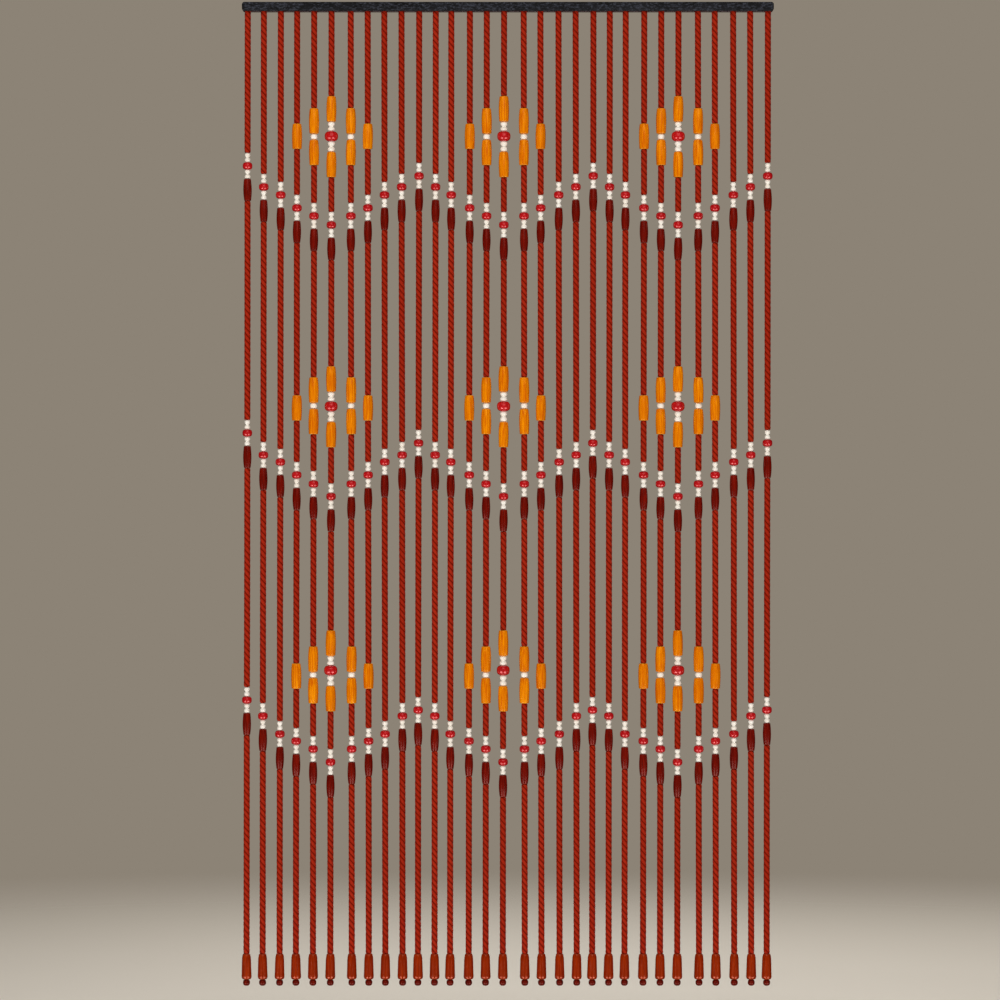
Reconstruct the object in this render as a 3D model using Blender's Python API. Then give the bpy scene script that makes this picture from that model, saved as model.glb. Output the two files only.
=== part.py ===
# Bead curtain on a rail: thirty-one red cords threaded with wooden beads hang side by side from a
# dark batten. Stacks of white, red and brown beads follow three waves across the curtain, a
# diamond of orange beads sits over each trough of a wave, and a turned bell ends every cord.
#
# Tables are in millimetres, and everything else is in metres. +Z is up, +X is to the right as
# seen from the front, the front is at -Y, and the origin is the middle of the rail's top face.

import math
from collections import namedtuple

import bmesh
import bpy

MM = 0.001
GAP = 0.3 * MM                  # left between two pieces that touch

# Rail: a batten with rounded ends and a groove in its underside, in which the cords are held
RAIL_LENGTH = 900.4 * MM
RAIL_HEIGHT = 15.2 * MM
RAIL_DEPTH = 22.0 * MM
RAIL_END_RADIUS = 4.5 * MM
RAIL_CORNER_STEPS = 5
RAIL_EDGE_ROUNDING = 1.2 * MM
GROOVE_WIDTH = 12.0 * MM
GROOVE_DEPTH = 6.0 * MM
GROOVE_MARGIN = 0.6 * MM        # past the outermost cords, at each end

# Cords: square in section here, as wide as the round cord
CORD_WIDTH = 10.2 * MM
CORE_WIDTH = 3.6 * MM           # where the cord runs through its bell
NECK_WIDTH = 7.2 * MM           # where two beads meet
FIRST_STRAND_LIFT = 17.0 * MM   # the stacks of the first strand hang this much higher
LEAN_LEFT = -2.2 * MM           # how far a strand's foot hangs to the side of its top
LEAN_RIGHT = 1.9 * MM
STRANDS_LEANING_LEFT = 6        # of each wave, from its crest on; the others lean right

# Feet: a bell on every cord, held by the ball at the cord's end
BELL_TOP = 1612.1 * MM          # below the rail's top
BELL_LENGTH = 43.0 * MM
BELL_SIDES = 8
BELL_BORE = 6.4 * MM
BALL_LENGTH = 10.6 * MM

# The bell's outline from its top down: height above its foot, and width
BELL_OUTLINE_MM = (
    # height, width
    (43.0, 14.4),
    (2.6, 17.0),
    (0.0, 13.0),
)

# The end ball's outline from its top down: share of its length, and width
BALL_OUTLINE_MM = (
    # share, width
    (0.0, 7.6),
    (0.5, 12.4),
    (1.0, 6.8),
)

# Space from each strand to the next, a row for each wave, from its crest on
SPACES_MM = (
    # crest, 2nd, 3rd, 4th, 5th, trough, 7th, 8th, 9th, 10th
    (27.3, 28.8, 27.6, 28.8, 29.5, 32.4, 28.8, 28.1, 29.2, 30.0),
    (28.1, 26.4, 31.5, 28.6, 29.3, 33.2, 28.3, 30.7, 29.0, 30.2),
    (27.8, 27.0, 31.4, 28.8, 29.2, 32.9, 28.5, 31.2, 28.8, 30.2),
)
WAVE = len(SPACES_MM[0])        # strands in a wave
TROUGH = WAVE // 2              # strands from a crest to the trough

# Top of each stack of beads below the rail's top, a row for each band of waves
STACK_TOPS_MM = (
    # at the crest, then 1, 2, 3 and 4 strands from it, and at the trough
    (271.7, 290.3, 303.9, 325.9, 339.5, 354.7),
    (724.3, 744.6, 756.5, 778.5, 793.7, 814.9),
    (1176.8, 1187.0, 1217.5, 1229.4, 1242.9, 1265.0),
)

# Top of each diamond's columns of beads below the rail's top, a row for each band
DIAMOND_TOPS_MM = (
    # middle, inner, outer
    (158.8, 179.2, 205.4),
    (616.5, 635.1, 665.6),
    (1063.9, 1091.1, 1119.9),
)

# Beads: length along the cord, and the rings of its outline as share of the length and width
Bead = namedtuple("Bead", "finish length_mm outline_mm")
BEADS = {
    "first white pair": Bead("white", 16.4, ((0.5, 6.8), (0.75, 10.0))),
    "white pair": Bead("white", 16.4, ((0.25, 10.0), (0.5, 6.8), (0.75, 10.0))),
    "small red": Bead("red", 11.6, ((0.5, 16.8),)),
    "brown spindle": Bead("brown", 37.0, ((0.28, 13.6), (0.66, 14.0))),
    "orange barrel": Bead("orange", 43.0, ((0.0, 14.6), (0.5, 17.0), (1.0, 15.4))),
    "single white": Bead("white", 10.6, ((0.5, 11.8),)),
    "wide white pair": Bead("white", 16.9, ((0.25, 12.2), (0.5, 8.0), (0.75, 12.2))),
    "large red": Bead("red", 15.8, ((0.32, 22.0), (0.68, 22.0))),
    "lower white pair": Bead("white", 18.7, ((0.25, 12.2), (0.5, 8.0), (0.75, 12.2))),
}
STACK = ("first white pair", "small red", "white pair", "brown spindle")
DIAMOND_COLUMNS = (
    # middle, inner, outer
    ("orange barrel", "wide white pair", "large red", "lower white pair", "orange barrel"),
    ("orange barrel", "single white", "orange barrel"),
    ("orange barrel",),
)

# Finishes: linear colour, roughness
FINISHES = {
    "cord": ((0.270, 0.016, 0.005), 0.85),
    "white": ((0.850, 0.770, 0.660), 0.25),
    "red": ((0.480, 0.030, 0.032), 0.20),
    "brown": ((0.140, 0.008, 0.004), 0.30),
    "orange": ((0.750, 0.220, 0.003), 0.30),
    "bell": ((0.270, 0.022, 0.003), 0.35),
    "rail": ((0.014, 0.014, 0.018), 0.50),
}
CORD_FINISHES = ("cord", "white", "red", "brown", "orange")

# Three lengths of strip hold the cords in the groove: first strand and last strand of each
STRINGS = {
    "strings_left": (0, 9),
    "strings_middle": (10, 19),
    "strings_right": (20, 30),
}

Ring = namedtuple("Ring", "depth width finish")     # the finish is that of the faces above it


def clear_scene():
    for old in list(bpy.data.objects):
        bpy.data.objects.remove(old, do_unlink=True)


def make_material(name):
    colour, roughness = FINISHES[name]
    material = bpy.data.materials.new(name)
    material.use_nodes = True
    shader = material.node_tree.nodes["Principled BSDF"]
    shader.inputs["Base Color"].default_value = (*colour, 1.0)
    shader.inputs["Roughness"].default_value = roughness
    shader.inputs["Metallic"].default_value = 0.0
    return material


def add_object(name, mesh, parent, location=(0.0, 0.0, 0.0)):
    piece = bpy.data.objects.new(name, mesh)
    bpy.context.collection.objects.link(piece)
    piece.location = location
    piece.parent = parent
    return piece


def finish_mesh(bm, name, finishes):
    bmesh.ops.recalc_face_normals(bm, faces=bm.faces)
    mesh = bpy.data.meshes.new(name)
    bm.to_mesh(mesh)
    bm.free()
    for finish in finishes:
        mesh.materials.append(finish)
    return mesh


# Layout of the strands

def strand_places():
    """Give each strand's x at the rail, from left to right, about the rail's middle."""
    places = [0.0]
    for wave in SPACES_MM:
        for space in wave:
            places.append(places[-1] + space * MM)
    middle = places[-1] / 2
    return [place - middle for place in places]


def strand_lean(index):
    return LEAN_LEFT if index % WAVE < STRANDS_LEANING_LEFT else LEAN_RIGHT


def strand_x(index, top_x, depth):
    """Give a strand's x at a depth below the rail's top."""
    return top_x + strand_lean(index) * depth / (BELL_TOP + BELL_LENGTH)


def bead_groups(index):
    """List a strand's groups of beads as top and kinds, from the top down."""
    from_crest = min(index % WAVE, WAVE - index % WAVE)
    from_trough = TROUGH - from_crest
    lift = FIRST_STRAND_LIFT if index == 0 else 0.0
    groups = []
    for stack_tops, diamond_tops in zip(STACK_TOPS_MM, DIAMOND_TOPS_MM):
        if from_trough < len(DIAMOND_COLUMNS):
            groups.append((diamond_tops[from_trough] * MM, DIAMOND_COLUMNS[from_trough]))
        groups.append((stack_tops[from_crest] * MM - lift, STACK))
    return groups


# Rings of a strand's solid

def group_rings(top, kinds):
    """Give the rings of one group of beads, with a neck between each two kinds."""
    rings = [Ring(top, CORD_WIDTH, "cord")]
    depth = top
    for number, kind in enumerate(kinds, start=1):
        bead = BEADS[kind]
        length = bead.length_mm * MM
        for share, width_mm in bead.outline_mm:
            rings.append(Ring(depth + share * length, width_mm * MM, bead.finish))
        depth += length
        end_width = CORD_WIDTH if number == len(kinds) else NECK_WIDTH
        rings.append(Ring(depth, end_width, bead.finish))
    return rings


def foot_rings():
    """Give the rings of the cord's core in its bell and of the ball under it."""
    core_top = BELL_TOP - GAP
    ball_top = BELL_TOP + BELL_LENGTH + GAP
    rings = [
        Ring(core_top, CORD_WIDTH, "cord"),
        Ring(core_top, CORE_WIDTH, "cord"),
        Ring(ball_top, CORE_WIDTH, "cord"),
    ]
    for share, width_mm in BALL_OUTLINE_MM:
        rings.append(Ring(ball_top + share * BALL_LENGTH, width_mm * MM, "brown"))
    return rings


def strand_rings(index):
    rings = []
    for top, kinds in bead_groups(index):
        rings += group_rings(top, kinds)
    return rings + foot_rings()


# Cords on their strip

def add_ring(bm, x, ring):
    half = ring.width / 2
    corners = ((-half, -half), (-half, half), (half, half), (half, -half))
    return [bm.verts.new((x + dx, dy, -ring.depth)) for dx, dy in corners]


def grow_strand(bm, root, index, top_x, origin_x):
    """Carry the root's four corners down the strand, ring by ring, and close its foot."""
    upper = root
    for ring in strand_rings(index):
        lower = add_ring(bm, strand_x(index, top_x, ring.depth) - origin_x, ring)
        for corner in range(4):
            face = bm.faces.new((upper[corner - 1], upper[corner], lower[corner], lower[corner - 1]))
            face.material_index = CORD_FINISHES.index(ring.finish)
        upper = lower
    foot = bm.faces.new(upper)
    foot.material_index = CORD_FINISHES.index("brown")


def add_strip(bm, start, end, root_places):
    """Build the strip without its roots' cells, and give the four corners of each root."""
    half_width = GROOVE_WIDTH / 2 - GAP
    half_cord = CORD_WIDTH / 2
    top = RAIL_HEIGHT - GROOVE_DEPTH + GAP
    bottom = RAIL_HEIGHT - GAP
    cuts_x = [start]
    for place in root_places:
        cuts_x += [place - half_cord, place + half_cord]
    cuts_x.append(end)
    cuts_y = (-half_width, -half_cord, half_cord, half_width)
    grid = [[bm.verts.new((x, y, -bottom)) for y in cuts_y] for x in cuts_x]

    roots = []
    for column in range(len(cuts_x) - 1):
        near, far = grid[column], grid[column + 1]
        for row in range(len(cuts_y) - 1):
            cell = [near[row], near[row + 1], far[row + 1], far[row]]
            if column % 2 == 1 and row == 1:
                roots.append(cell)
            else:
                bm.faces.new(cell)

    front_left = bm.verts.new((start, -half_width, -top))
    back_left = bm.verts.new((start, half_width, -top))
    back_right = bm.verts.new((end, half_width, -top))
    front_right = bm.verts.new((end, -half_width, -top))
    bm.faces.new((front_left, front_right, back_right, back_left))
    bm.faces.new([line[0] for line in grid] + [front_right, front_left])
    bm.faces.new([line[-1] for line in grid] + [back_right, back_left])
    bm.faces.new(grid[0] + [back_left, front_left])
    bm.faces.new(grid[-1] + [back_right, front_right])
    return roots


def groove_end(places):
    return places[-1] + CORD_WIDTH / 2 + GROOVE_MARGIN


def strip_span(first, last, places):
    """Give the two ends of a strip: at the groove's end, or halfway to the next strip."""
    start = -groove_end(places) + GAP
    end = groove_end(places) - GAP
    if first > 0:
        start = (places[first - 1] + places[first]) / 2 + GAP / 2
    if last < len(places) - 1:
        end = (places[last] + places[last + 1]) / 2 - GAP / 2
    return start, end


def make_strings(name, materials, places, parent):
    first, last = STRINGS[name]
    start, end = strip_span(first, last, places)
    origin_x = (start + end) / 2
    indices = range(first, last + 1)
    bm = bmesh.new()
    roots = add_strip(bm, start - origin_x, end - origin_x, [places[i] - origin_x for i in indices])
    for root, index in zip(roots, indices):
        grow_strand(bm, root, index, places[index], origin_x)
    mesh = finish_mesh(bm, name, [materials[finish] for finish in CORD_FINISHES])
    return add_object(name, mesh, parent, (origin_x, 0.0, 0.0))


# Rail

def rounded_outline(length, height, radius):
    """List the points of the rail's front outline, with its top edge at height 0."""
    points = []
    for corner in range(4):
        side = 1 if corner in (0, 3) else -1
        middle_x = side * (length / 2 - radius)
        middle_z = -radius if corner in (0, 1) else radius - height
        for step in range(RAIL_CORNER_STEPS + 1):
            angle = math.radians(90 * corner + 90 * step / RAIL_CORNER_STEPS)
            points.append((middle_x + radius * math.cos(angle), middle_z + radius * math.sin(angle)))
    return points


def make_groove_cutter(length, parent):
    """Box that cuts the groove. It reaches past the rail's underside."""
    bm = bmesh.new()
    bmesh.ops.create_cube(bm, size=1.0)
    bmesh.ops.scale(bm, vec=(length, GROOVE_WIDTH, 2 * GROOVE_DEPTH), verts=bm.verts)
    mesh = finish_mesh(bm, "groove_cutter", [])
    cutter = add_object("groove_cutter", mesh, parent, (0.0, 0.0, -RAIL_HEIGHT))
    cutter.hide_render = True
    cutter.display_type = "WIRE"
    return cutter


def make_rail(materials, places, parent):
    bm = bmesh.new()
    outline = rounded_outline(RAIL_LENGTH, RAIL_HEIGHT, RAIL_END_RADIUS)
    front = bm.faces.new([bm.verts.new((x, -RAIL_DEPTH / 2, z)) for x, z in outline])
    pulled = bmesh.ops.extrude_face_region(bm, geom=[front], use_keep_orig=True)
    back = [item for item in pulled["geom"] if isinstance(item, bmesh.types.BMVert)]
    bmesh.ops.translate(bm, vec=(0.0, RAIL_DEPTH, 0.0), verts=back)
    mesh = finish_mesh(bm, "rail", [materials["rail"]])
    rail = add_object("rail", mesh, parent)

    rounding = rail.modifiers.new("edges", "BEVEL")
    rounding.width = RAIL_EDGE_ROUNDING
    rounding.segments = 2
    rounding.limit_method = "ANGLE"
    rounding.angle_limit = math.radians(60)
    groove = rail.modifiers.new("groove", "BOOLEAN")
    groove.operation = "DIFFERENCE"
    groove.solver = "EXACT"
    groove.object = make_groove_cutter(2 * groove_end(places), parent)
    return rail


# Bells

def bell_mesh(material):
    """Turn the bell's outline and its bore about Z. Its foot is at height 0."""
    outline = [(width / 2 * MM, height * MM) for height, width in BELL_OUTLINE_MM]
    outline += [(BELL_BORE / 2, 0.0), (BELL_BORE / 2, BELL_LENGTH)]
    bm = bmesh.new()
    points = [bm.verts.new((radius, 0.0, height)) for radius, height in outline]
    lines = [bm.edges.new((points[i - 1], points[i])) for i in range(len(points))]
    bmesh.ops.spin(
        bm, geom=points + lines, cent=(0.0, 0.0, 0.0), axis=(0.0, 0.0, 1.0),
        angle=2 * math.pi, steps=BELL_SIDES, use_merge=True,
    )
    mesh = finish_mesh(bm, "bell", [material])
    mesh.shade_smooth()
    mesh.set_sharp_from_angle(angle=math.radians(50))
    return mesh


def make_bells(materials, places, parent):
    """One bell for each strand. All share a mesh."""
    mesh = bell_mesh(materials["bell"])
    foot = BELL_TOP + BELL_LENGTH
    middle = BELL_TOP + BELL_LENGTH / 2
    for index, place in enumerate(places):
        x = strand_x(index, place, middle)
        add_object(f"bell_{index + 1:02d}", mesh, parent, (x, 0.0, -foot))


def build():
    clear_scene()
    curtain = bpy.data.objects.new("curtain", None)
    bpy.context.collection.objects.link(curtain)
    materials = {name: make_material(name) for name in FINISHES}
    places = strand_places()
    make_rail(materials, places, curtain)
    for name in STRINGS:
        make_strings(name, materials, places, curtain)
    make_bells(materials, places, curtain)


build()
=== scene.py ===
# Dresses the bead curtain: laid cords, turned and lacquered beads, bells and a dark batten.
# The tables are in millimetres but for the stage's, and depths go down from the rail's top.

import math

import bmesh
import bpy
import numpy as np
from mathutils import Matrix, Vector


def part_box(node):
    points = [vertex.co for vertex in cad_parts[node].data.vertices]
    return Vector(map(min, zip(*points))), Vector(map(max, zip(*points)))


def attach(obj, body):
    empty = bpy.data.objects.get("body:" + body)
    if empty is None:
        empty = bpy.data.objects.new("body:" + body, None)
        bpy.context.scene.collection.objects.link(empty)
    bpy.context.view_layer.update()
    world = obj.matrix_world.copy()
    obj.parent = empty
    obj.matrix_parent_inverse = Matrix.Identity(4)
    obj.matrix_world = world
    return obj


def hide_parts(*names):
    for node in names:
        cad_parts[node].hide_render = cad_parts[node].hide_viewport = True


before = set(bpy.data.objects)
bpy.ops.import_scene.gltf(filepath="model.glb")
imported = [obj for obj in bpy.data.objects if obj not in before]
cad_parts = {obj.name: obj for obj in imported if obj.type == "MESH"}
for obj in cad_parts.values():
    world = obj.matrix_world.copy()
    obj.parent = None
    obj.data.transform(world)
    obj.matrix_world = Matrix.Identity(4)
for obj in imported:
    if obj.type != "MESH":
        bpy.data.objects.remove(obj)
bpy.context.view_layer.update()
mm = 0.001
chance = np.random.default_rng(1931)
print("frame loaded:", len(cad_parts), "nodes")


# Shader values as plain sums

class Wire:
    # one socket in a material, which takes part in sums such as 1 - mask

    def __init__(self, tree, socket=None):
        self.tree = tree
        self.socket = socket

    def node(self, kind, settings=(), inputs=(), output=0):
        made = self.tree.nodes.new(kind)
        for name, value in dict(settings).items():
            setattr(made, name, value)
        for name, value in dict(inputs).items():
            if isinstance(value, Wire):
                self.tree.links.new(value.socket, made.inputs[name])
            else:
                made.inputs[name].default_value = value
        return Wire(self.tree, made.outputs[output])

    def maths(self, operation, *values):
        return self.node("ShaderNodeMath", {"operation": operation}, dict(enumerate(values)))

    def __add__(self, other):
        return self.maths("ADD", self, other)

    def __radd__(self, other):
        return self.maths("ADD", other, self)

    def __sub__(self, other):
        return self.maths("SUBTRACT", self, other)

    def __rsub__(self, other):
        return self.maths("SUBTRACT", other, self)

    def __mul__(self, other):
        return self.maths("MULTIPLY", self, other)

    def __rmul__(self, other):
        return self.maths("MULTIPLY", other, self)

    def __truediv__(self, other):
        return self.maths("DIVIDE", self, other)

    def __pow__(self, other):
        return self.maths("POWER", self, other)

    def size(self):
        return self.maths("ABSOLUTE", self)

    def clip(self, low=0.0, high=1.0):
        return self.node("ShaderNodeClamp", {}, {"Value": self, "Min": low, "Max": high})

    def step(self, start, end):
        # 0 up to start, 1 from end on, and an even slope between
        return ((self - start) / (end - start)).clip()

    def named(self, name, output="Fac"):
        # what the mesh stores under this name at each point
        return self.node("ShaderNodeAttribute", {"attribute_name": name}, {}, output)

    def stretched(self, scale):
        return self.node("ShaderNodeVectorMath", {"operation": "MULTIPLY"}, {0: self, 1: scale})

    def moved(self, shift):
        return self.node("ShaderNodeVectorMath", {"operation": "ADD"}, {0: self, 1: shift})

    def noise(self, scale=1.0, detail=2.0, rough=0.5):
        return self.node("ShaderNodeTexNoise", {}, {
            "Vector": self, "Scale": scale, "Detail": detail, "Roughness": rough})

    def blend(self, low, high):
        # one colour where this value is 0, the other where it is 1
        return self.node("ShaderNodeMix", {"data_type": "RGBA"}, {0: self, 6: low, 7: high}, 2)

    def bump(self, strength, distance):
        return self.node("ShaderNodeBump", {}, {
            "Strength": strength, "Distance": distance, "Height": self})


def paint(red, green, blue):
    # screen colour 0 to 255 as linear light
    def light(value):
        value /= 255
        return value / 12.92 if value <= 0.04045 else ((value + 0.055) / 1.055) ** 2.4
    return (light(red), light(green), light(blue), 1.0)


def startFinish(name, fixed):
    material = bpy.data.materials.new(name)
    material.use_nodes = True
    shader = material.node_tree.nodes["Principled BSDF"]
    for socket, value in fixed.items():
        shader.inputs[socket].default_value = value
    return material, Wire(material.node_tree)


def feed(material, **wires):
    # links what changes over the surface: baseColor feeds the socket Base Color, and so on
    sockets = {"baseColor": "Base Color", "roughness": "Roughness", "normal": "Normal"}
    shader = material.node_tree.nodes["Principled BSDF"]
    for name, wire in wires.items():
        material.node_tree.links.new(wire.socket, shader.inputs[sockets[name]])
    return material


# Meshes from rows of points

def ringQuads(rings, sides, closed):
    # faces between neighbouring rings, which go down; closed joins the last ring to the first
    ring, side = np.meshgrid(
        np.arange(rings if closed else rings - 1), np.arange(sides), indexing="ij")
    nextRing = (ring + 1) % rings
    nextSide = (side + 1) % sides
    corners = (
        ring * sides + side, nextRing * sides + side,
        nextRing * sides + nextSide, ring * sides + nextSide)
    return np.stack(corners, axis=-1).reshape(-1, 4)


def joinParts(parts):
    # parts hold points, quads, caps and values by point; their numbering is carried on
    joined = {"points": [], "quads": [], "caps": [], "values": {}}
    count = 0
    for part in parts:
        joined["points"].append(part["points"])
        joined["quads"].append(part["quads"] + count)
        if part.get("caps") is not None:
            joined["caps"].append(part["caps"] + count)
        for name, value in part["values"].items():
            joined["values"].setdefault(name, []).append(value)
        count += len(part["points"])
    return {
        "points": np.concatenate(joined["points"]),
        "quads": np.concatenate(joined["quads"]),
        "caps": np.concatenate(joined["caps"]) if joined["caps"] else None,
        "values": {name: np.concatenate(value) for name, value in joined["values"].items()},
    }


def makePiece(name, part, finish, replaced=(), sharpAngle=50):
    corners = part["quads"].ravel()
    starts = np.arange(len(part["quads"])) * 4
    caps = part.get("caps")
    if caps is not None:
        starts = np.concatenate([starts, len(corners) + np.arange(len(caps)) * caps.shape[1]])
        corners = np.concatenate([corners, caps.ravel()])
    mesh = bpy.data.meshes.new(name)
    mesh.vertices.add(len(part["points"]))
    mesh.vertices.foreach_set("co", (part["points"] * mm).astype(np.float32).ravel())
    mesh.loops.add(len(corners))
    mesh.loops.foreach_set("vertex_index", corners.astype(np.int32))
    mesh.polygons.add(len(starts))
    mesh.polygons.foreach_set("loop_start", starts.astype(np.int32))
    mesh.update(calc_edges=True)
    for label, value in part["values"].items():
        kind, field = ("FLOAT", "value") if value.ndim == 1 else ("FLOAT_VECTOR", "vector")
        stored = mesh.attributes.new(label, kind, "POINT")
        stored.data.foreach_set(field, value.astype(np.float32).ravel())
    mesh.validate()
    mesh.shade_smooth()
    mesh.set_sharp_from_angle(angle=math.radians(sharpAngle))
    mesh.materials.append(finish)
    piece = bpy.data.objects.new(name, mesh)
    bpy.context.scene.collection.objects.link(piece)
    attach(piece, "root")
    if replaced:
        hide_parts(*replaced)
    print(name, len(mesh.polygons), "faces")
    return piece


# Layout: where every strand hangs and what is threaded on it

layout = {
    "strands": 31,
    "strandsInWave": 10,
    "leanLeft": -2.2,           # how far a foot hangs to the side of its top
    "leanRight": 1.9,
    "leaningLeft": 6,           # strands of each wave that lean left, from its crest on
    "firstLift": 17.0,          # the stacks of the first strand hang this much higher
    "sway": {                   # slow waver of a strand, at most, and the waves it is made of:
        "side": (0.25, (1.0, 260), (0.4, 83)),          # share and length of each
        "depth": (0.7, (1.0, 310), (0.3, 105)),
    },
    "stackTops": (              # a row for each band: 0 to 5 strands from a crest
        (271.7, 290.3, 303.9, 325.9, 339.5, 354.7),
        (724.3, 744.6, 756.5, 778.5, 793.7, 814.9),
        (1176.8, 1187.0, 1217.5, 1229.4, 1242.9, 1265.0),
    ),
    "diamondTops": (            # a row for each band: middle, inner and outer column
        (158.8, 179.2, 205.4),
        (616.5, 635.1, 665.6),
        (1063.9, 1091.1, 1119.9),
    ),
    "stack": ("white pair", "small red", "white pair", "spindle"),
    "columns": (                # middle, inner and outer column of a diamond
        ("barrel", "wide white pair", "large red", "tall white pair", "barrel"),
        ("barrel", "single white", "barrel"),
        ("barrel",),
    ),
}

# Beads: length along the cord, greatest width, width of a round bead's flat ends, roundness (1 is
# a ball, less is squarer) or the width where the beads of a pair meet, and steps of the turning
beads = {
    "white pair": {
        "length": 16.4, "width": 9.8, "flat": 5.2, "waist": 5.4, "sides": 14, "steps": 5},
    "wide white pair": {
        "length": 16.9, "width": 12.2, "flat": 7.4, "waist": 7.0, "sides": 16, "steps": 6},
    "tall white pair": {
        "length": 18.7, "width": 12.2, "flat": 7.4, "waist": 7.0, "sides": 16, "steps": 6},
    "single white": {
        "length": 10.6, "width": 11.9, "flat": 6.4, "roundness": 0.9, "sides": 16, "steps": 9},
    "small red": {
        "length": 11.6, "width": 16.6, "flat": 10.2, "roundness": 0.72, "sides": 24, "steps": 13},
    "large red": {
        "length": 15.8, "width": 22.4, "flat": 13.0, "roundness": 0.74, "sides": 30, "steps": 15},
    "spindle": {"length": 37.0, "width": 14.2, "sides": 20, "steps": 11},
    "barrel": {"length": 43.0, "width": 17.5, "sides": 24, "steps": 11},
}

bellBoxes = [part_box(f"bell_{number + 1:02d}") for number in range(layout["strands"])]
bellXs = [(low.x + high.x) / 2 / mm for low, high in bellBoxes]
bellTop = -bellBoxes[0][1].z / mm
bellFoot = -bellBoxes[0][0].z / mm
swayStarts = chance.uniform(0, 2 * math.pi, (len(bellXs), 4))


def swayed(way, depth, starts):
    # slow and quick wave together, which never add up to more than the largest sway
    most, *waves = layout["sway"][way]
    total = sum(share for share, length in waves)
    return most / total * sum(
        share * np.sin(depth / length + start) for (share, length), start in zip(waves, starts))


def strandLine(index, depth):
    # x and y of a strand's middle at these depths
    wave = index % layout["strandsInWave"]
    lean = layout["leanLeft"] if wave < layout["leaningLeft"] else layout["leanRight"]
    x = bellXs[index] + lean * (depth - (bellTop + bellFoot) / 2) / bellFoot
    loose = 4 * depth / bellFoot * (1 - depth / bellFoot)       # 0 at the rail and at the foot
    sideways = swayed("side", depth, swayStarts[index][:2])
    inwards = swayed("depth", depth, swayStarts[index][2:])
    return x + loose * sideways, loose * inwards


def threadedGroups(index):
    # groups of beads on a strand, from the top down: top, foot and kinds
    wave = layout["strandsInWave"]
    fromCrest = min(index % wave, wave - index % wave)
    fromTrough = wave // 2 - fromCrest
    lift = layout["firstLift"] if index == 0 else 0
    groups = []
    for stackTops, diamondTops in zip(layout["stackTops"], layout["diamondTops"]):
        if fromTrough < len(layout["columns"]):
            groups.append((diamondTops[fromTrough], layout["columns"][fromTrough]))
        groups.append((stackTops[fromCrest] - lift, layout["stack"]))
    return [(top, top + sum(beads[kind]["length"] for kind in kinds), kinds)
            for top, kinds in groups]


def beadPlaces(kind):
    # strand and depth of the middle of each bead of a kind
    places = []
    for index in range(len(bellXs)):
        for top, foot, kinds in threadedGroups(index):
            depth = top
            for threaded in kinds:
                if threaded == kind:
                    places.append((index, depth + beads[kind]["length"] / 2))
                depth += beads[threaded]["length"]
    return places


# Cords: three plies laid round each other, drawn in to a thin core where beads are threaded

cord = {
    "plies": 3,
    "lead": 30.6,               # length in which a ply goes once round
    "stepsInLead": 12,
    "section": (                # a ply: degrees from its crown, distance from the cord's middle
        (-60, 4.8),
        (-42, 5.25),
        (-15, 5.5),
        (15, 5.5),
        (42, 5.25),
    ),
    "core": 1.3,
    "endGap": 0.15,             # between a cord's cut end and the bead on it
    "ends": (                   # distance from a cut end, share of the full section
        (0.0, 0.62),
        (0.4, 0.82),
        (1.2, 0.93),
        (2.6, 0.97),
        (4.5, 1.0),
    ),
    "rootDepth": 13.6,          # where the cord is held inside the strip in the groove
    "fibreAngle": 34,           # fibres of a ply cross it at this slant
    "fibreShift": 7.3,          # keeps the fibres of neighbouring cords unlike
    # groove is painted shade between the plies, crown a painted highlight on the plies' crowns
    "groove": paint(98, 14, 5),
    "low": paint(140, 28, 11),
    "crown": paint(166, 40, 20),
    # lighter threads on the crowns: painted sheen
    "wearAndSheen": paint(188, 60, 38),
}


def cordRings(index):
    # depth and fullness of every ring of a cord, fullness 0 being the bare core
    depths = [cord["rootDepth"]]
    fullness = [1.0]
    top = cord["rootDepth"]
    feet = [(group[0], group[1]) for group in threadedGroups(index)] + [(bellTop, None)]
    for number, (stop, restart) in enumerate(feet):
        bottom = stop - cord["endGap"]
        clear = cord["ends"][-1][0]
        first = top if number == 0 else top + clear
        steps = math.ceil((bottom - clear - first) / cord["lead"] * cord["stepsInLead"])
        between = np.linspace(first, bottom - clear, steps + 1)[1:-1]
        if number > 0:
            depths += [top] + [top + away for away, share in cord["ends"]]
            fullness += [0.0] + [share for away, share in cord["ends"]]
        depths += list(between) + [bottom - away for away, share in reversed(cord["ends"])]
        fullness += [1.0] * len(between) + [share for away, share in reversed(cord["ends"])]
        depths.append(bottom)
        fullness.append(0.0)
        if restart is not None:
            top = restart + cord["endGap"]
    depths.append(endBall["foot"] - 1.0)
    fullness.append(0.0)
    return np.array(depths), np.array(fullness)


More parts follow.
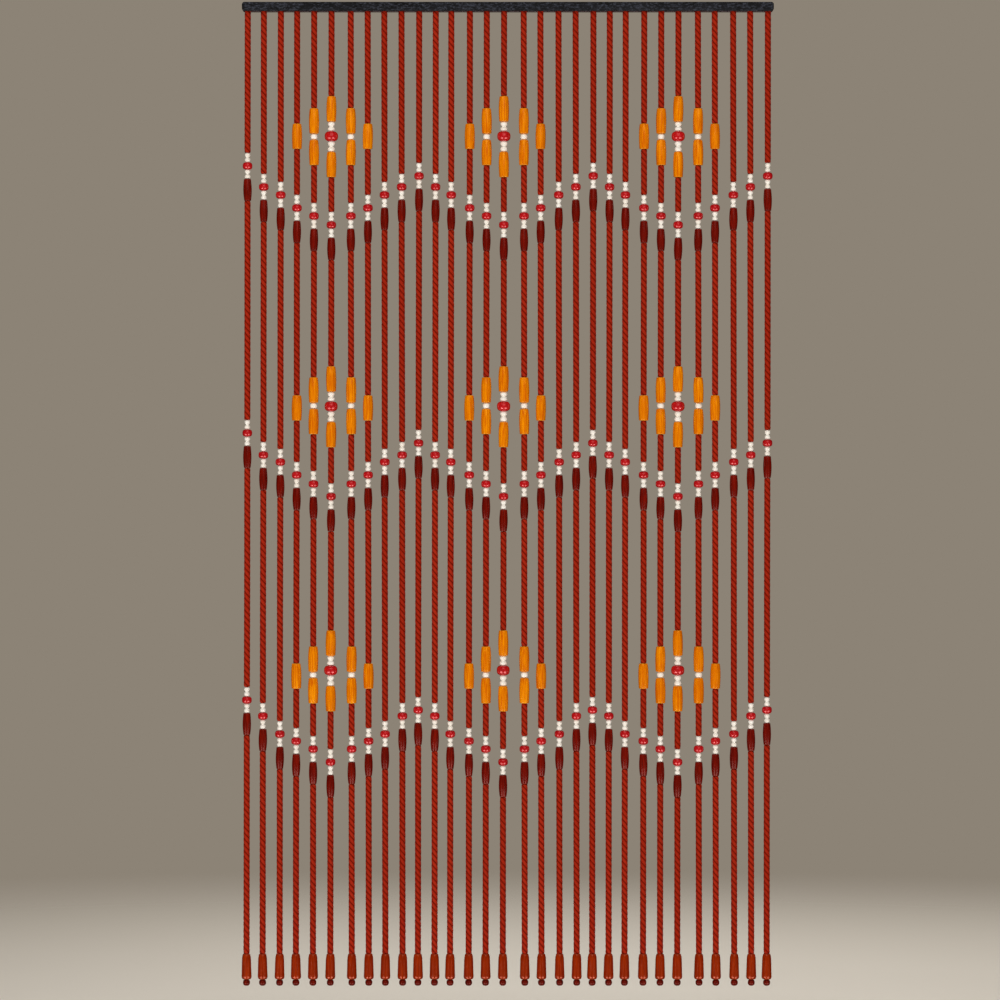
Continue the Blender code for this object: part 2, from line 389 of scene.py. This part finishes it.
def cordPart(index):
    depths, fullness = cordRings(index)
    angles = []
    radii = []
    offsets = []
    for ply in range(cord["plies"]):
        for degrees, radius in cord["section"]:
            angles.append(math.radians(degrees + 360 * ply / cord["plies"]))
            radii.append(radius)
            offsets.append(math.radians(degrees))
    radii = np.array(radii)
    turn = chance.uniform(0, 2 * math.pi) + 2 * math.pi * depths / cord["lead"]
    angle = np.array(angles)[None, :] + turn[:, None]
    radius = cord["core"] + (radii - cord["core"])[None, :] * fullness[:, None]
    middleX, middleY = strandLine(index, depths)
    points = np.stack([
        middleX[:, None] + radius * np.cos(angle),
        middleY[:, None] + radius * np.sin(angle),
        np.broadcast_to(-depths[:, None], radius.shape),
    ], axis=-1)
    rings, sides = radius.shape

    grooveRadius, crownRadius = radii.min(), radii.max()
    crown = (radii - grooveRadius) / (crownRadius - grooveRadius)
    crown = crown[None, :] * fullness[:, None]
    slant = math.radians(cord["fibreAngle"])
    across = np.broadcast_to((np.array(offsets) * crownRadius)[None, :], radius.shape)
    along = np.broadcast_to(depths[:, None], radius.shape)
    fibre = np.stack([
        across * math.cos(slant) + along * math.sin(slant),
        along * math.cos(slant) - across * math.sin(slant),
        np.full(radius.shape, index * cord["fibreShift"]),
    ], axis=-1)
    last = (rings - 1) * sides
    return {
        "points": points.reshape(-1, 3),
        "quads": ringQuads(rings, sides, closed=False),
        "caps": np.array([np.arange(sides), last + np.arange(sides)[::-1]]),
        "values": {
            "crown": crown.ravel(),
            "fibre": fibre.reshape(-1, 3),
            "tone": np.full(rings * sides, chance.uniform()),
        },
    }


def cordFinish():
    material, wire = startFinish("laid cord", {
        "Specular IOR Level": 0.2,
        "Specular Tint": paint(255, 110, 60),
        "Sheen Weight": 0.04,
        "Sheen Roughness": 0.4,
        "Sheen Tint": paint(255, 100, 50),
    })
    crown = wire.named("crown")
    fibre = wire.named("fibre", "Vector")
    tone = wire.named("tone")
    threads = fibre.stretched((1.9, 0.16, 1.0)).noise(scale=1.0, detail=3.0, rough=0.6)
    patches = fibre.stretched((0.05, 0.05, 1.0)).noise(scale=1.0, detail=2.0)
    # painted shade in the grooves and painted highlight on the crowns, stronger on some cords than
    # others
    body = crown.step(0.05, 0.85).blend(cord["groove"], cord["low"])
    body = (crown.step(0.45, 1.0) * (0.55 + 0.45 * tone)).blend(body, cord["crown"])
    # lighter thread streaks on the crowns: fibre texture carrying a painted sheen
    body = (threads.step(0.52, 0.8) * crown * 0.5).blend(body, cord["wearAndSheen"])
    body = (patches.step(0.5, 0.8) * 0.35).blend(body, cord["low"])
    return feed(
        material,
        baseColor=body,
        roughness=0.5 + 0.25 * threads,
        normal=(threads * (0.4 + 0.6 * crown)).bump(0.5, 0.00035),
    )


# Beads: outlines turned about the string's hole

turning = {
    "hole": 1.5,                # half the hole's width
    "slack": 0.16,              # left between two threaded beads
    "pairSlack": 0.08,          # the same inside a pair of white ones
    "waistSoftness": 6,         # power that blends a ball into its waist, higher is sharper
    "rimAngles": (90, 68, 46, 23),
    "uneven": 0.018,            # how far a bead's size strays
    "tilt": 1.3,                # how far a bead hangs out of true, in degrees
    "longTilt": 0.8,            # the same for the long wooden ones
}


def roundOutline(width, length, steps, flat, roundness):
    # ball or cushion with flat ends: radius and height from the upper rim to the lower one
    first = math.asin((flat / width) ** (1 / roundness))
    turn = np.linspace(first, math.pi - first, steps)
    radius = width / 2 * np.sin(turn) ** roundness
    share = np.cos(turn) / math.cos(first)
    height = length / 2 * np.sign(share) * np.abs(share) ** roundness
    outline = np.stack([radius, height], axis=1)
    hole = np.array([(turning["hole"], length / 2)])
    return np.concatenate([hole, outline, hole * (1, -1)])


def pairOutline(width, length, steps, flat, waist):
    # upper bead of a pair that fills this length: a ball drawn in to the waist where its twin sits
    first = math.asin(flat / width)
    outer = np.linspace(first, math.pi / 2, steps)
    inner = np.linspace(math.pi / 2, math.pi, steps)[1:]
    soft = turning["waistSoftness"]
    neck = ((width * np.sin(inner)) ** soft + waist ** soft) ** (1 / soft)
    radius = np.concatenate([width * np.sin(outer), neck]) / 2
    height = length / 4 * np.concatenate([1 + np.cos(outer) / math.cos(first), 1 + np.cos(inner)])
    height[-1] = turning["pairSlack"] / 2
    ends = np.array([(turning["hole"], length / 2), (turning["hole"], height[-1])])
    return np.concatenate([ends[:1], np.stack([radius, height], axis=1), ends[1:]])


def barrelOutline(width, ends, length, steps, fullness, rim):
    # long bead with flat ends and rounded rims, fullest near the middle; ends are its two widths
    share = np.linspace(0, 1, steps)
    swell = np.sin(math.pi * share) ** fullness
    plain = ends[0] + (ends[1] - ends[0]) * share
    radius = (plain + (width - plain) * swell) / 2
    height = (length / 2 - rim) * (1 - 2 * share)
    corners = []
    for end in ends:
        corner = [(turning["hole"], length / 2)]
        for degrees in turning["rimAngles"]:
            corner.append((
                end / 2 - rim + rim * math.cos(math.radians(degrees)),
                length / 2 - rim + rim * math.sin(math.radians(degrees))))
        corners.append(np.array(corner))
    upper = corners[0]
    lower = corners[1][::-1] * (1, -1)
    return np.concatenate([upper, np.stack([radius, height], axis=1), lower])


def turnBeads(outline, sides, places, tilt=turning["tilt"]):
    # one closed turned solid at each place, each with its own turn, size and tilt
    around = np.linspace(0, 2 * math.pi, sides, endpoint=False)
    radius, height = outline[:, 0], outline[:, 1]
    local = np.stack([
        radius[:, None] * np.cos(around)[None, :],
        radius[:, None] * np.sin(around)[None, :],
        np.broadcast_to(height[:, None], (len(outline), sides)),
    ], axis=-1).reshape(-1, 3)
    quads = ringQuads(len(outline), sides, closed=True)
    parts = []
    for index, depth in places:
        x, y = strandLine(index, depth)
        turn = chance.uniform(0, 2 * math.pi)
        wide = 1 + chance.uniform(-1, 1) * turning["uneven"]
        tip, nod = np.radians(chance.uniform(-tilt, tilt, 2))
        spun = local * (wide, wide, 1.0)
        turned = np.stack([
            spun[:, 0] * math.cos(turn) - spun[:, 1] * math.sin(turn),
            spun[:, 0] * math.sin(turn) + spun[:, 1] * math.cos(turn),
            spun[:, 2],
        ], axis=1)
        leaning = turned + np.stack([
            turned[:, 2] * tip,
            turned[:, 2] * nod,
            -turned[:, 0] * tip - turned[:, 1] * nod,
        ], axis=1)
        parts.append({
            "points": leaning + (x, y, -depth),
            "quads": quads,
            "values": {
                "grain": local,
                "tone": np.full(len(local), chance.uniform()),
            },
        })
    return joinParts(parts)


def threadBeads(kind, outline, tilt=turning["tilt"]):
    return turnBeads(outline, beads[kind]["sides"], beadPlaces(kind), tilt)


def roundBeads(kind):
    bead = beads[kind]
    length = bead["length"] - turning["slack"]
    if "waist" in bead:
        upper = pairOutline(bead["width"], length, bead["steps"], bead["flat"], bead["waist"])
        return joinParts([threadBeads(kind, upper), threadBeads(kind, upper[::-1] * (1, -1))])
    outline = roundOutline(bead["width"], length, bead["steps"], bead["flat"], bead["roundness"])
    return threadBeads(kind, outline)


# White beads: cream lacquer, a little darker in random clouds

white = {
    "face": paint(250, 246, 238),
    "shade": paint(232, 218, 198),
    "rough": 0.24,
}


def whiteFinish():
    material, wire = startFinish("cream lacquer", {
        "Specular IOR Level": 0.4,
        "Coat Weight": 0.3,
        "Coat Roughness": 0.15,
    })
    grain = wire.named("grain", "Vector")
    tone = wire.named("tone")
    own = grain.moved((13.0, 5.0, 2.0)).noise(scale=0.35, detail=3.0)
    shade = own.step(0.45, 0.75) * 0.5 + tone * 0.3
    return feed(
        material,
        baseColor=shade.clip().blend(white["face"], white["shade"]),
        roughness=white["rough"] + 0.12 * own,
        normal=grain.noise(scale=0.8, detail=2.0).bump(0.12, 0.0003),
    )


# Red beads: clear glossy red, deeper in random clouds

red = {
    "face": paint(206, 22, 28),
    "deep": paint(150, 10, 14),
    "rough": 0.16,
}


def redFinish():
    material, wire = startFinish("red lacquer", {
        "IOR": 1.8,
        "Specular IOR Level": 1.0,
        "Specular Tint": paint(255, 165, 165),
    })
    grain = wire.named("grain", "Vector")
    tone = wire.named("tone")
    clouds = grain.noise(scale=0.3, detail=3.0)
    depth = clouds.step(0.4, 0.8) * 0.6 + tone * 0.25
    return feed(
        material,
        baseColor=depth.clip().blend(red["face"], red["deep"]),
        roughness=red["rough"] + 0.14 * clouds,
        normal=grain.noise(scale=0.6, detail=2.0).bump(0.10, 0.0003),
    )


# Wooden beads: grain along the bead under stain, rims lighter, part rub wear and part painted
# highlight

def grainFinish(name, wood, fixed):
    material, wire = startFinish(name, fixed)
    grain = wire.named("grain", "Vector")
    tone = wire.named("tone")
    split = grain.node("ShaderNodeSeparateXYZ", {}, {"Vector": grain}, "Z")
    shift = grain.node("ShaderNodeCombineXYZ", {}, {"X": tone * 90, "Y": tone * 35, "Z": tone * 11})
    own = grain.moved(shift)
    streaks = own.stretched((0.6, 0.6, 0.02)).noise(scale=1.0, detail=3.0, rough=0.6)
    pores = own.stretched((2.6, 2.6, 0.12)).noise(scale=1.0, detail=2.0, rough=0.5)
    # rims lighter towards both ends: part rub wear, part painted highlight
    rimWearAndHighlight = (split.size() + streaks * 1.6).step(wood["rimWearAndHighlightFrom"], wood["rimWearAndHighlightFrom"] + 1.6)
    colour = streaks.step(0.38, 0.62).blend(wood["dark"], wood["face"])
    colour = (pores.step(0.60, 0.74) * 0.55).blend(colour, wood["pore"])
    colour = (tone * 0.35).blend(colour, wood["dark"])
    colour = (rimWearAndHighlight * wood["rimWearAndHighlightShare"]).blend(colour, wood["rimWearAndHighlight"])
    return feed(
        material,
        baseColor=colour,
        roughness=wood["rough"] + 0.1 * pores,
        normal=(streaks * 0.6 - pores.step(0.58, 0.72) * 0.5).bump(0.35, 0.0003),
    )


spindle = {
    "ends": (12.0, 11.4),
    "fullness": 0.95,
    "rim": 0.9,
    "face": paint(128, 18, 4),
    "dark": paint(88, 9, 2),
    "pore": paint(58, 6, 2),
    # rim colour: rub wear and painted highlight
    "rimWearAndHighlight": paint(120, 34, 22),
    "rimWearAndHighlightShare": 0.5,
    "rimWearAndHighlightFrom": 17.0,
    "rough": 0.2,
}

barrel = {
    "ends": (14.8, 16.0),
    "fullness": 0.8,
    "rim": 1.5,
    "face": paint(250, 152, 2),
    "dark": paint(208, 96, 0),
    "pore": paint(180, 74, 0),
    # rim colour: rub wear and painted highlight
    "rimWearAndHighlight": paint(252, 178, 52),
    "rimWearAndHighlightShare": 0.7,
    "rimWearAndHighlightFrom": 21.0,
    "rough": 0.18,
}

bell = {
    "sides": 32,
    "tilt": 0.5,
    "outline": (                # height above the foot, width, from the top down
        (43.0, 3.4),
        (43.0, 10.2),
        (42.8, 11.4),
        (41.8, 12.6),
        (39.6, 13.7),
        (36.6, 14.8),
        (32.0, 15.3),
        (25.8, 15.7),
        (17.2, 16.1),
        (8.6, 16.7),
        (5.4, 17.0),
        (3.8, 16.9),
        (2.6, 16.4),
        (1.6, 15.6),
        (0.8, 14.5),
        (0.2, 13.1),
        (0.0, 11.9),
        (0.0, 10.8),
        (0.6, 9.8),
        (1.0, 3.4),
    ),
    "face": paint(166, 48, 2),
    "dark": paint(130, 30, 1),
    "pore": paint(98, 19, 1),
    # rim colour: rub wear and painted highlight on the lip
    "rimWearAndHighlight": paint(176, 78, 44),
    "rimWearAndHighlightShare": 0.6,
    "rimWearAndHighlightFrom": 20.6,
    "rough": 0.15,
}

endBall = {
    "width": 12.0,
    "length": 10.6,
    "flat": 5.6,
    "roundness": 0.85,
    "steps": 12,
    "sides": 20,
    "foot": bellFoot + 0.3 + 10.6,
    "face": paint(116, 22, 7),
    "dark": paint(78, 9, 3),
    "pore": paint(58, 6, 2),
    # rim colour: rub wear and painted highlight
    "rimWearAndHighlight": paint(120, 34, 22),
    "rimWearAndHighlightShare": 0.3,
    "rimWearAndHighlightFrom": 5.0,
    "rough": 0.18,
}


def woodBeads(kind, wood):
    bead = beads[kind]
    outline = barrelOutline(
        bead["width"], wood["ends"], bead["length"] - turning["slack"],
        bead["steps"], wood["fullness"], wood["rim"])
    return threadBeads(kind, outline, tilt=turning["longTilt"])


def makeBeads():
    makePiece(
        "beads_white",
        joinParts([roundBeads(kind) for kind in beads if "white" in kind]),
        whiteFinish())
    makePiece(
        "beads_red",
        joinParts([roundBeads(kind) for kind in beads if kind.endswith("red")]),
        redFinish())
    makePiece(
        "beads_brown", woodBeads("spindle", spindle),
        grainFinish("brown lacquer", spindle, {
            "Specular IOR Level": 0.5, "Specular Tint": paint(255, 180, 170)}))
    makePiece(
        "beads_orange", woodBeads("barrel", barrel),
        grainFinish("orange stain", barrel, {
            "Specular IOR Level": 0.6, "Specular Tint": paint(255, 215, 140)}))


def makeFeet():
    middle = (bellTop + bellFoot) / 2
    half = (bellFoot - bellTop) / 2
    outline = np.array([(width / 2, height - half) for height, width in bell["outline"]])
    strands = range(len(bellXs))
    makePiece(
        "bells",
        turnBeads(outline, bell["sides"], [(index, middle) for index in strands], bell["tilt"]),
        grainFinish("bell stain", bell, {
            "IOR": 1.75, "Specular IOR Level": 0.9, "Specular Tint": paint(255, 155, 128)}),
        [f"bell_{index + 1:02d}" for index in strands])
    ballMiddle = endBall["foot"] - endBall["length"] / 2
    makePiece(
        "end_balls",
        turnBeads(
            roundOutline(
                endBall["width"], endBall["length"], endBall["steps"], endBall["flat"],
                endBall["roundness"]),
            endBall["sides"], [(index, ballMiddle) for index in strands]),
        grainFinish("ball lacquer", endBall, {
            "Specular IOR Level": 0.35, "Specular Tint": paint(255, 180, 170)}))


def makeCords():
    finish = cordFinish()
    for side, first, last in (("left", 0, 9), ("middle", 10, 19), ("right", 20, 30)):
        makePiece(
            f"cords_{side}",
            joinParts([cordPart(index) for index in range(first, last + 1)]),
            finish, [f"strings_{side}"], sharpAngle=75)


# Rail: dark stained batten with rounded ends, grooved below, where strips hold the cords

rail = {
    "endRadius": 4.5,
    "cornerSteps": 10,
    "rounding": 1.2,
    "roundingSteps": 4,
    "grooveWidth": 12.0,
    "grooveDepth": 6.0,
    "grooveEnd": 5.7,           # how far it runs past the middle of the outermost cord
    "face": paint(20, 20, 25),
    "pale": paint(72, 76, 89),
    "deep": paint(3, 3, 5),
    "rough": 0.5,
}

strip = {
    "gap": 0.3,
    "rounding": 0.8,
    "spacing": 6.0,             # between rings along the strip
    "lastStrands": (10, 20),    # strand after which one strip ends and the next begins
    "pulledIn": 0.012,          # share by which the tape's edges waver, and how fast
    "pullLength": 4.6,
    "face": paint(96, 20, 14),
    "deep": paint(40, 8, 6),
}


def railFinish():
    material, wire = startFinish("black stained batten", {"Specular IOR Level": 0.3})
    place = wire.node("ShaderNodeTexCoord", {}, {}, "Object")
    blots = place.stretched((210.0, 320.0, 420.0)).noise(detail=4.0, rough=0.65)
    clouds = place.stretched((30.0, 60.0, 60.0)).noise(detail=3.0)
    grain = place.stretched((40.0, 900.0, 900.0)).noise(detail=3.0, rough=0.6)
    colour = clouds.step(0.35, 0.65).blend(rail["deep"], rail["face"])
    colour = (blots.step(0.48, 0.72) * 0.75).blend(colour, rail["pale"])
    return feed(
        material,
        baseColor=colour,
        roughness=rail["rough"] + 0.3 * blots,
        normal=(blots * 0.6 + grain * 0.4).bump(0.4, 0.0004),
    )


def makeRail():
    low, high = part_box("rail")
    length, depth, height = high - low
    radius = rail["endRadius"] * mm
    bm = bmesh.new()
    outline = []
    for corner in range(4):
        side = 1 if corner in (0, 3) else -1
        middleX = side * (length / 2 - radius)
        middleZ = -radius if corner in (0, 1) else radius - height
        for step in range(rail["cornerSteps"] + 1):
            angle = math.radians(90 * corner + 90 * step / rail["cornerSteps"])
            outline.append((middleX + radius * math.cos(angle), middleZ + radius * math.sin(angle)))
    front = bm.faces.new([bm.verts.new((x, low.y, z)) for x, z in outline])
    pulled = bmesh.ops.extrude_face_region(bm, geom=[front], use_keep_orig=True)
    back = [item for item in pulled["geom"] if isinstance(item, bmesh.types.BMVert)]
    bmesh.ops.translate(bm, vec=(0, depth, 0), verts=back)
    bmesh.ops.recalc_face_normals(bm, faces=bm.faces)
    mesh = bpy.data.meshes.new("rail_batten")
    bm.to_mesh(mesh)
    bm.free()
    batten = bpy.data.objects.new("rail_batten", mesh)
    bpy.context.scene.collection.objects.link(batten)

    rounding = batten.modifiers.new("edges", "BEVEL")
    rounding.width = rail["rounding"] * mm
    rounding.segments = rail["roundingSteps"]
    rounding.angle_limit = math.radians(60)

    # box that cuts the groove, gone once the cut is made
    grooveMesh = bpy.data.meshes.new("groove")
    bm = bmesh.new()
    bmesh.ops.create_cube(bm, size=1.0)
    grooveLength = 2 * (max(abs(x) for x in strandEnds()) + rail["grooveEnd"]) * mm
    size = (grooveLength, rail["grooveWidth"] * mm, 2 * rail["grooveDepth"] * mm)
    bmesh.ops.scale(bm, vec=size, verts=bm.verts)
    bmesh.ops.translate(bm, vec=(0, 0, -height), verts=bm.verts)
    bm.to_mesh(grooveMesh)
    bm.free()
    groove = bpy.data.objects.new("groove", grooveMesh)
    bpy.context.scene.collection.objects.link(groove)
    cut = batten.modifiers.new("groove", "BOOLEAN")
    cut.operation = "DIFFERENCE"
    cut.object = groove
    bpy.context.view_layer.update()
    shape = bpy.data.meshes.new_from_object(
        batten.evaluated_get(bpy.context.evaluated_depsgraph_get()))
    batten.modifiers.clear()
    batten.data = shape
    bpy.data.objects.remove(groove)
    shape.shade_smooth()
    shape.set_sharp_from_angle(angle=math.radians(40))
    shape.materials.clear()
    shape.materials.append(railFinish())
    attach(batten, "root")
    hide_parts("rail")
    print("rail_batten", len(shape.polygons), "faces")


def strandEnds():
    # x of the outermost strands at the rail
    return [strandLine(index, 0.0)[0] for index in (0, len(bellXs) - 1)]


def stripFinish():
    material, wire = startFinish("woven tape", {"Specular IOR Level": 0.3, "Sheen Weight": 0.2})
    place = wire.node("ShaderNodeTexCoord", {}, {}, "Object")
    warp = place.node("ShaderNodeTexWave", {"bands_direction": "Y"}, {
        "Vector": place, "Scale": 300.0, "Distortion": 0.6, "Detail": 1.0})
    weft = place.node("ShaderNodeTexWave", {"bands_direction": "X"}, {
        "Vector": place, "Scale": 260.0, "Distortion": 0.6, "Detail": 1.0})
    weave = warp * weft
    wearAndSheen = place.stretched((60.0, 60.0, 60.0)).noise(detail=3.0)
    return feed(
        material,
        baseColor=(weave * 0.7 + wearAndSheen * 0.3).clip().blend(strip["deep"], strip["face"]),
        roughness=0.7 + 0.2 * wearAndSheen,
        normal=weave.bump(0.6, 0.0004),
    )


def makeStrips():
    # lengths of tape in the groove, one for each group of cords
    low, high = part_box("rail")
    width = rail["grooveWidth"] - 2 * strip["gap"]
    height = rail["grooveDepth"] - 2 * strip["gap"]
    bottom = -low.z / mm - strip["gap"]
    top = bottom - height
    places = [strandLine(index, 0.0)[0] for index in range(len(bellXs))]
    outer = max(abs(x) for x in strandEnds()) + rail["grooveEnd"] - strip["gap"]
    cuts = [-outer]
    for number in strip["lastStrands"]:
        cuts.append((places[number - 1] + places[number]) / 2)
    cuts.append(outer)
    section = []
    for corner in range(4):
        side = 1 if corner in (0, 3) else -1
        middleY = side * (width / 2 - strip["rounding"])
        middleZ = (-top - strip["rounding"]) if corner in (0, 1) else (-bottom + strip["rounding"])
        for step in range(4):
            angle = math.radians(90 * corner + 30 * step)
            section.append((
                middleY + strip["rounding"] * math.cos(angle),
                middleZ + strip["rounding"] * math.sin(angle)))
    section = np.array(section)
    parts = []
    for start, end in zip(cuts, cuts[1:]):
        count = math.ceil((end - start) / strip["spacing"]) + 1
        xs = np.linspace(start + strip["gap"] / 2, end - strip["gap"] / 2, count)
        wave = 1 - strip["pulledIn"] * (1 + np.sin(xs / strip["pullLength"]))
        points = np.stack([
            np.broadcast_to(xs[:, None], (count, len(section))),
            section[None, :, 0] * wave[:, None],
            np.broadcast_to(section[None, :, 1], (count, len(section))),
        ], axis=-1)
        last = (count - 1) * len(section)
        around = np.arange(len(section))
        quads = ringQuads(count, len(section), closed=False)[:, ::-1]
        parts.append({
            "points": points.reshape(-1, 3),
            "quads": quads,
            "caps": np.array([around[::-1], last + around]),
            "values": {"tone": np.full(count * len(section), 0.5)},
        })
    makePiece("header_strips", joinParts(parts), stripFinish())


# Stage: pale floor, soft lamps and the camera

stage = {
    "floorDepth": 1.98,
    "floorRadius": 5.0,
    "floorFade": (0.45, 0.98),          # share of the radius where it starts and ends to fade
    "floorColour": paint(232, 225, 214),
    "backdrop": paint(140, 131, 118),
    "fillLight": paint(96, 94, 90),     # falls on everything, but isn't mirrored
}

lamps = {
    # place in metres, size, power in watts, colour
    "key": ((-1.0, -4.4, 3.2), 5.5, 200.0, (1.0, 0.97, 0.92)),
    "sheen": ((0.5, -4.8, 2.2), 4.2, 40.0, (1.0, 0.98, 0.96)),
    "low left": ((-4.3, -5.2, -5.4), 4.9, 310.0, (1.0, 0.97, 0.93)),
    "low right": ((4.3, -5.2, -5.4), 4.9, 295.0, (1.0, 0.97, 0.93)),
    "rear": ((0.6, 3.8, 1.4), 4.0, 130.0, (1.0, 0.98, 0.95)),
}

view = {
    "middleX": -0.01334,        # the frame's middle, and what it takes in at the curtain
    "middleZ": -0.84306,
    "across": 1.695,
    "distance": 6.0,
}


def makeFloor():
    bm = bmesh.new()
    bmesh.ops.create_circle(bm, cap_ends=True, segments=96, radius=stage["floorRadius"])
    mesh = bpy.data.meshes.new("floor")
    bm.to_mesh(mesh)
    bm.free()
    floor = bpy.data.objects.new("floor", mesh)
    floor.location.z = -stage["floorDepth"]
    floor.visible_shadow = False            # two lamps shine up through it
    floor.visible_diffuse = False
    floor.visible_glossy = False
    bpy.context.scene.collection.objects.link(floor)
    material, wire = startFinish("floor", {"Base Color": stage["floorColour"], "Roughness": 0.8})
    place = wire.node("ShaderNodeTexCoord", {}, {}, "Object")
    away = place.node("ShaderNodeVectorMath", {"operation": "LENGTH"}, {0: place}, "Value")
    inside = 1 - away.step(*(share * stage["floorRadius"] for share in stage["floorFade"]))
    shader = material.node_tree.nodes["Principled BSDF"]
    material.node_tree.links.new(inside.socket, shader.inputs["Alpha"])
    mesh.materials.append(material)


def makeLight():
    world = bpy.data.worlds.new("studio")
    world.use_nodes = True
    tree = world.node_tree
    wire = Wire(tree)
    seen = wire.node("ShaderNodeLightPath", {}, {}, "Is Camera Ray")
    lit = wire.node("ShaderNodeLightPath", {}, {}, "Is Diffuse Ray")
    colour = seen.blend(lit.blend(paint(0, 0, 0), stage["fillLight"]), stage["backdrop"])
    tree.links.new(colour.socket, tree.nodes["Background"].inputs["Color"])
    bpy.context.scene.world = world
    for name, (place, size, power, colour) in lamps.items():
        data = bpy.data.lights.new(name, "AREA")
        data.size = size
        data.energy = power
        data.color = colour
        lamp = bpy.data.objects.new(name, data)
        bpy.context.scene.collection.objects.link(lamp)
        aim = np.array((0.0, 0.0, view["middleZ"])) - np.array(place)
        lamp.location = place
        lamp.rotation_mode = "QUATERNION"
        lamp.rotation_quaternion = Vector(aim).to_track_quat("-Z", "Y")
        lamp.visible_camera = False
        lamp.visible_glossy = name not in ("key", "rear")       # they would leave hard glints


def makeCamera():
    data = bpy.data.cameras.new("camera")
    data.sensor_width = 36.0
    data.lens = data.sensor_width * view["distance"] / view["across"]
    camera = bpy.data.objects.new("camera", data)
    camera.location = (view["middleX"], -view["distance"], view["middleZ"])
    camera.rotation_euler = (math.radians(90), 0, 0)
    bpy.context.scene.collection.objects.link(camera)
    bpy.context.scene.camera = camera


makeCamera()
makeLight()
makeFloor()
makeCords()
makeBeads()
makeFeet()
makeStrips()
makeRail()
bpy.context.scene.view_settings.view_transform = "Standard"

bpy.context.view_layer.update()
